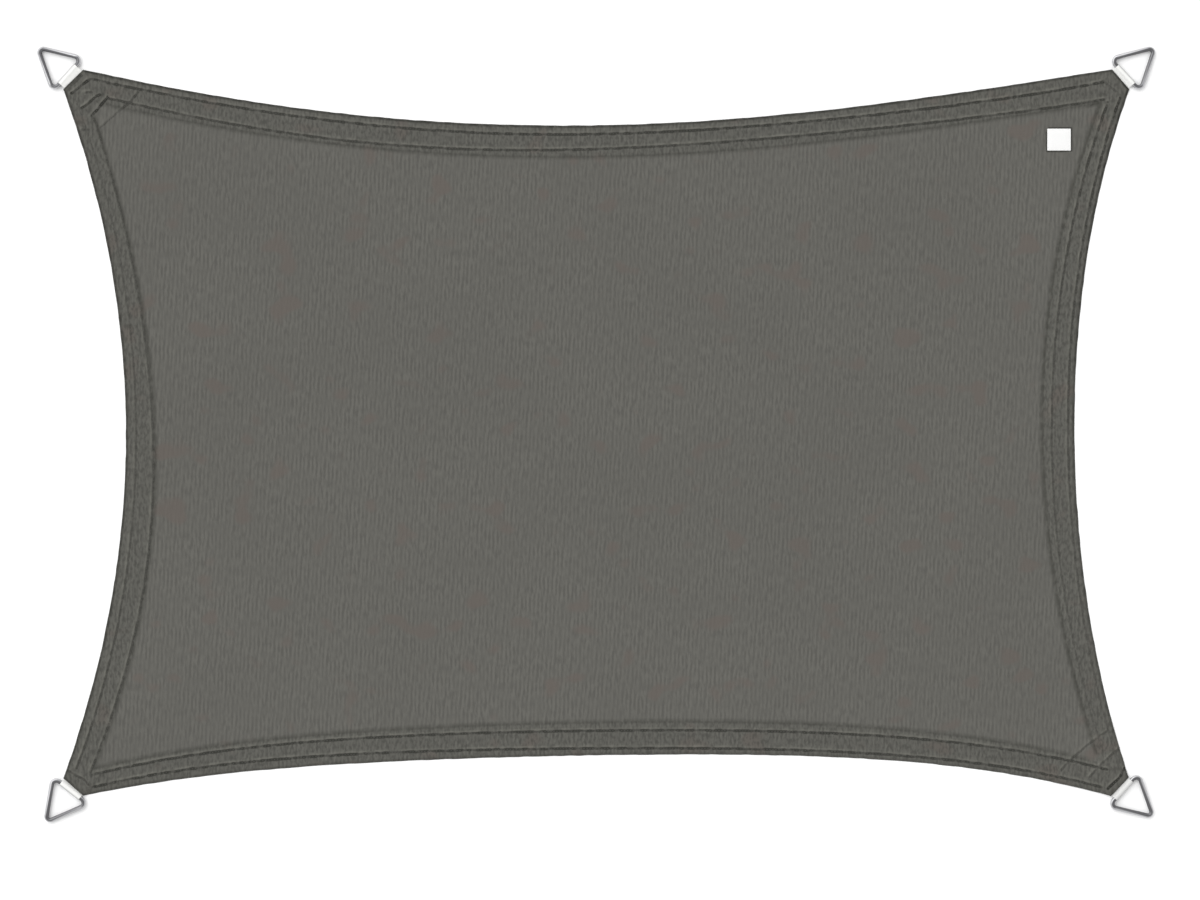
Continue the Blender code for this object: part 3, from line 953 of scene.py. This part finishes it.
def make_row_stitches(material):
    flat = np.concatenate([sew(line, THREAD_PITCH, THREAD_LENGTH) for line, _ in sewn_lines]).reshape(-1, 2)
    places = np.column_stack([flat, lie_of(flat).high + THREAD_RISE]).reshape(-1, 2, 3)
    return make_stitches("row_stitches", places, THREAD_RADIUS, material, "shade_cloth")


# ---------- Patches, webbing, rings and label ----------

PATCH_STEP = 12 * MM  # between points of a patch
PATCH_MARGIN = 4 * MM  # from its outline to those
PATCH_GAP = 3 * MM
PATCH_RIMS = (0.006, 0.016)  # lines of points inside its outline, as shares of the way to its middle


def make_patch(name, corner, material):
    """The second layer of cloth under a corner, with rounded edges."""
    node = f"patch_{name}"
    before = next(edge for edge in EDGES.values() if CORNERS[edge.end] is corner)
    after = next(edge for edge in EDGES.values() if CORNERS[edge.start] is corner)

    def away(line):
        """A line away from the corner, ended at the patch's inner edge."""
        inwards, _ = from_corner(corner, line)
        last = [np.interp(PATCH_REACH, inwards, line[:, axis]) for axis in range(2)]
        return np.array([*line[inwards < PATCH_REACH - MM], last])

    def inset(points):
        return np.minimum(inset_of(points) - PATCH_INSET, PATCH_REACH - from_corner(corner, points)[0])

    coming = away(beside_edge(before, edge_steps(before), PATCH_INSET)[::-1])[::-1]
    going = away(beside_edge(after, edge_steps(after), PATCH_INSET))
    inner = walk(np.array((going[-1], coming[0])), ALONG_STEP)[1:-1]
    loop = np.concatenate([coming, going, inner])
    count = len(loop)
    grid = grid_points(loop.min(axis=0), loop.max(axis=0), PATCH_STEP)
    grid = uncrowded(grid[inset(grid) > PATCH_MARGIN], loop, PATCH_GAP)
    rims = [loop + (loop.mean(axis=0) - loop) * share for share in PATCH_RIMS]
    points = np.concatenate([loop, *rims, grid])
    faces = triangles_over(points, count)
    depth = inset(points)
    depth[:count] = 0.0
    half = CLOTH / 2
    swell = half * rounded(depth, half)
    top, bottom = (np.column_stack([points, height]) for height in (half + swell, half - swell))
    places, sides = close_sheet(count, top, faces, bottom, faces)
    patch = add_mesh(f"corner_{node}", places, sides, material, "shade_cloth")
    for value in DISTANCES:
        set_values(patch, value, np.full(len(places), -FAR if value == "hem" else FAR))
    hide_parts(node)
    return patch


FOLD_STEPS = 24  # round the bar
TAIL_SHARES = (1.0, 0.66, 0.33, 0.1)  # places of the points along a tail
WEBBING_STEPS = 16  # across its width
SELVEDGE_STEPS = 6  # round each of its edges
LAYER_GAP = 0.03 * MM  # taken off both faces of the strip, so that its layers don't touch
FOLD_SHADE_REACH = 0.7 * BAR_UP  # past the bar, where the painted shade at the fold is full
# How grey the painted shade makes the rest of each loop.
LOOP_SHADE = {"bottom_left": 0.3, "bottom_right": 0.75, "top_right": 0.3, "top_left": 0.0}


def tangent_angle(centre, radius, point, side):
    """The angle on a circle where a line from an outer point touches it."""
    away = point - centre
    return atan2(away[1], away[0]) + side * (pi / 2 - asin(radius / hypot(*away)))


def strip_path(corner):
    """The middle line of the folded strip, outwards and up: lower tail, round the bar, upper tail."""
    floor = CLOTH + GAP if corner.patch else 0.0
    bar = np.array((corner.bar_out, BAR_UP))
    radius = BAR_UP - WEBBING / 2
    lower = np.array((LOOP_START, floor + WEBBING / 2))
    upper = np.array((LOOP_START, floor + WEBBING * 3 / 2))
    start = tangent_angle(bar, radius, lower, 1) - 2 * pi
    end = tangent_angle(bar, radius, upper, -1)
    angles = np.linspace(start, end, FOLD_STEPS + 1)
    fold = bar + radius * np.stack([np.cos(angles), np.sin(angles)], axis=1)
    tail = np.array([(-TAIL * share - LOOP_START, 0.0) for share in TAIL_SHARES])
    return np.concatenate([lower + tail, [lower], fold, [upper], upper + tail[::-1]])


def make_webbing(name, corner, material):
    """One strip, folded round the ring's bar: its flat section with round edges follows the path."""
    node = f"webbing_{name}"
    path = strip_path(corner)
    normal = left_of(unit(np.gradient(path, axis=0)))
    half, thick = WEBBING_WIDTH / 2, WEBBING / 2 - LAYER_GAP
    upper = [(share * (half - thick), thick) for share in np.linspace(-1, 1, WEBBING_STEPS + 1)]
    upper += [(half - thick + thick * sin(angle), thick * cos(angle))
              for angle in np.linspace(0, pi, SELVEDGE_STEPS + 1)[1:-1]]
    section = upper + [(-across, -rise) for across, rise in upper]
    middle, outwards, bar = corner_axes(corner)
    lengths = lengths_along(path)
    places, values = [], []
    for place, up, length in zip(path, normal, lengths):
        for across, rise in section:
            out, height = place + up * rise
            places.append((*(middle + outwards * out + bar * across), height))
            # painted shade: grey towards the fold's outer side and, at some corners, over the whole loop
            painted_shade = max(LOOP_SHADE[name], smooth_step((out - corner.bar_out) / FOLD_SHADE_REACH))
            values.append((across / MM, length / MM, painted_shade))
    faces = tube_faces(len(path), len(section))
    faces += [tuple(range(len(section)))[::-1], tuple(range(len(places) - len(section), len(places)))]
    made = add_mesh(f"folded_{node}", places, faces, material, "webbing")
    for value, numbers in zip(("across", "along", "painted_shade"), zip(*values)):
        set_values(made, value, numbers)
    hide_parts(node)
    return made


RING_STEPS = 18  # round each bend of the wire
RING_SIDES = 28  # round the wire
STRAIGHTS = (0.2, 0.84)  # of the ring's height: its straight sides lie between, its bends outside
BEND_FADE = 0.1
BEND_SHADE = 0.6  # how far the painted shade inside a bend reaches round the wire


def bend(corner, before, after, radius):
    """Points round one bend of the wire's centre line, where it turns left at a corner."""
    coming = (before - corner).normalized()
    going = (after - corner).normalized()
    half = coming.angle(going) / 2
    centre = corner + (coming + going).normalized() * radius / sin(half)
    start = corner + coming * radius / tan(half) - centre
    first = atan2(start.y, start.x)
    angles = (first + (pi - 2 * half) * i / RING_STEPS for i in range(RING_STEPS + 1))
    return [centre + Vector((cos(angle), sin(angle))) * radius for angle in angles]


def ring_path():
    """The wire's centre line, anticlockwise, with the bar on the Y axis and the tip at +X."""
    tip = Vector((RING_HEIGHT, 0.0))
    right = Vector((0.0, -RING_BASE / 2))
    left = Vector((0.0, RING_BASE / 2))
    return [
        *bend(right, left, tip, BAR_BEND),
        *bend(tip, right, left, TIP_BEND),
        *bend(left, tip, right, BAR_BEND),
    ]


def make_ring(name, corner, material):
    """A triangle of round wire, tilted so that its tip rests on the ground."""
    path = ring_path()
    reach = max(point.x for point in path)
    tilt = asin(BAR_UP / hypot(reach, WIRE / 2)) - atan2(WIRE / 2, reach)
    turn = Euler((0.0, tilt, corner.points_to)).to_matrix()
    middle, outwards, _ = corner_axes(corner)
    centre = Vector((*(middle + outwards * corner.bar_out), BAR_UP))
    points, outer_values = [], []
    for i, place in enumerate(path):
        share = place.x / reach
        # painted shade, darkening the inside of each bend
        bend_shade = BEND_SHADE * smooth_step(max(STRAIGHTS[0] - share, share - STRAIGHTS[1]) / BEND_FADE)
        coming = (place - path[i - 1]).normalized()
        going = (path[(i + 1) % len(path)] - place).normalized()
        along = (coming + going).normalized()
        side = Vector((along.y, -along.x))
        stretch = 1 / along.dot(coming)
        for k in range(RING_SIDES):
            angle = 2 * pi * k / RING_SIDES
            across = side * cos(angle) * WIRE / 2 * stretch
            points.append(centre + turn @ Vector((*(place + across), sin(angle) * WIRE / 2)))
            # lighter outwards, darker inwards and in the bends: painted reflection and painted shade
            outer_values.append(cos(angle) - bend_shade)
    faces = [face[::-1] for face in tube_faces(len(path), RING_SIDES, closed=True)]
    made = add_mesh(f"steel_ring_{name}", points, faces, material, "ring_steel")
    set_values(made, "outer", outer_values)
    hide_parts(f"ring_{name}")
    return made


LABEL_CORNER = 2.5 * MM  # radius of its corners
LABEL_CORNER_STEPS = 5
LABEL_BORDER = 3 * MM  # from its edge to its stitches
LABEL_THICK = 0.8 * MM
LABEL_DROP = 0.1 * MM  # its underside, below that of the solid
LABEL_RIM = 0.4 * MM  # from its outline to the line of points beside it
LABEL_MARGIN = 0.8 * MM  # and to all others
LABEL_STEP = 2 * MM
LABEL_CROWN = 0.5 * MM  # how high its middle rises
LABEL_CROWN_WIDTH = 12 * MM  # inwards of its stitches, over which it rises
LABEL_CROWN_BELOW = 0.6  # share of that rise on its underside
LABEL_GROOVE = 0.3 * MM  # how deep its stitches pull it in
LABEL_GROOVE_WIDTH = 1.2 * MM
LABEL_PITCH = 4 * MM
LABEL_STITCH = 3 * MM
LABEL_THREAD = 0.45 * MM  # radius
LABEL_THREAD_DROP = 0.2 * MM  # of its middle below the label's top


def make_label(material, thread):
    """A small bare tape, sewn down all round, slightly crowned between its stitches."""
    low, high = label_low[:2], label_high[:2]
    middle, half = (low + high) / 2, (high - low) / 2
    loop = []
    for quarter, signs in enumerate(((1, 1), (-1, 1), (-1, -1), (1, -1))):
        centre = middle + (half - LABEL_CORNER) * signs
        for angle in np.linspace(quarter, quarter + 1, LABEL_CORNER_STEPS + 1) * pi / 2:
            loop.append(centre + LABEL_CORNER * np.array((cos(angle), sin(angle))))
    loop = np.array(loop)

    def inset(points):
        past = np.abs(points - middle) - (half - LABEL_CORNER)
        return LABEL_CORNER - np.hypot(*np.maximum(past, 0).T) - np.minimum(past.max(axis=1), 0)

    grid = grid_points(low, high, LABEL_STEP)
    rim = middle + (loop - middle) * (1 - LABEL_RIM / half)
    points = np.concatenate([loop, rim, grid[inset(grid) > LABEL_MARGIN]])
    faces = triangles_over(points, len(loop))
    depth = inset(points)
    thick = LABEL_THICK / 2
    swell = thick * rounded(depth, thick)
    crown = LABEL_CROWN * smooth_step((depth - LABEL_BORDER) / LABEL_CROWN_WIDTH)
    groove = LABEL_GROOVE * np.exp(-(((depth - LABEL_BORDER) / LABEL_GROOVE_WIDTH) ** 2))
    base = label_low[2] - LABEL_DROP + thick
    top = np.column_stack([points, base + swell + crown - groove])
    bottom = np.column_stack([points, base - swell + crown * LABEL_CROWN_BELOW])
    label = add_mesh("bare_label", *close_sheet(len(loop), top, faces, bottom, faces), material, "label")
    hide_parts("label")
    corners = middle + (half - LABEL_BORDER) * np.array(((-1, -1), (1, -1), (1, 1), (-1, 1), (-1, -1)))
    flat = np.concatenate([sew(corners[i : i + 2], LABEL_PITCH, LABEL_STITCH) for i in range(4)])
    heights = np.full((len(flat), 2, 1), base + thick - LABEL_THREAD_DROP)
    stretches = np.concatenate([flat, heights], axis=2)
    stitches = make_stitches("label_stitches", stretches, LABEL_THREAD, thread, "label")
    return label


# ---------- Floor, light and camera ----------

FLOOR_SIZE = 120.0
FLOOR_DROP = 0.1 * MM  # below the ground, so that the cloth doesn't touch it
FRAME_WIDTH = 3.258  # of the ground that the camera sees
VIEW_CENTRE = (0.0099, -0.0421)
CAMERA_HEIGHT = 10.0
CAMERA_REACH = 200.0
SENSOR = 36.0
LAMP_STRENGTH = 1.82
LAMP_SPREAD = radians(70)
LAMP_WAY = (1.0, -1.0, -1.35)
HORIZON = (0.98, 0.98, 0.98, 1.0)
ZENITH = (0.5, 0.5, 0.505, 1.0)
ZENITH_START = 0.75  # sine of the height from which the sky darkens to its zenith


def make_floor():
    """A plain white floor, far wider than the sail."""
    made, tree = start_material("white_floor", Roughness=0.9)
    place = add_node(tree, "TexCoord", output="Object")
    grain = add_node(tree, "TexNoise", {"Vector": place, "Scale": 2.0})
    colour = add_node(tree, "Mix", {
        "Factor": grain, 6: linear("#f8f8f8"), 7: linear("#fafafa")}, 2, data_type="RGBA")
    cover(tree, colour)
    half = FLOOR_SIZE / 2
    corners = [(-half, -half, 0), (half, -half, 0), (half, half, 0), (-half, half, 0)]
    mesh = bpy.data.meshes.new("floor")
    mesh.from_pydata(corners, [], [(0, 1, 2, 3)])
    mesh.materials.append(made)
    floor = bpy.data.objects.new("floor", mesh)
    bpy.context.scene.collection.objects.link(floor)
    floor.location.z = -FLOOR_DROP


def make_light():
    """A bright sky all round, darker straight above, and a wide lamp from the top left."""
    world = bpy.data.worlds.new("studio")
    world.use_nodes = True
    bpy.context.scene.world = world
    tree = world.node_tree
    direction = add_node(tree, "TexCoord", output="Generated")
    up = add_node(tree, "SeparateXYZ", {0: direction}, "Z")
    above = add_node(tree, "MapRange", {
        "Value": up, "From Min": ZENITH_START}, interpolation_type="SMOOTHSTEP")
    colour = add_node(tree, "Mix", {"Factor": above, 6: HORIZON, 7: ZENITH}, 2, data_type="RGBA")
    tree.links.new(colour, tree.nodes["Background"].inputs["Color"])
    light = bpy.data.lights.new("wide_lamp", "SUN")
    light.angle = LAMP_SPREAD
    light.energy = LAMP_STRENGTH
    lamp = bpy.data.objects.new("wide_lamp", light)
    bpy.context.scene.collection.objects.link(lamp)
    lamp.rotation_euler = Vector(LAMP_WAY).to_track_quat("-Z", "Y").to_euler()


def make_camera():
    camera = bpy.data.cameras.new("camera")
    camera.sensor_width = SENSOR
    camera.lens = SENSOR * CAMERA_HEIGHT / FRAME_WIDTH
    camera.clip_end = CAMERA_REACH
    eye = bpy.data.objects.new("camera", camera)
    bpy.context.scene.collection.objects.link(eye)
    eye.location = (*VIEW_CENTRE, CAMERA_HEIGHT)
    bpy.context.scene.camera = eye


# ---------- The sail ----------

cloth_finish = knitted_cloth()
dark_thread = sewing_thread("dark_polyester_thread", "#3d3c37")
white_thread = sewing_thread("white_polyester_thread", "#dcdcdc")
webbing_finish = woven_webbing()
steel = polished_steel()
tape = satin_tape()

cloth = make_cloth(cloth_finish)
row_stitches = make_row_stitches(dark_thread)
for corner_name, corner in CORNERS.items():
    make_ring(corner_name, corner, steel)
    make_webbing(corner_name, corner, webbing_finish)
    if corner.patch:
        make_patch(corner_name, corner, cloth_finish)
make_label(tape, white_thread)

make_floor()
make_light()
make_camera()
bpy.context.scene.view_settings.view_transform = "Standard"
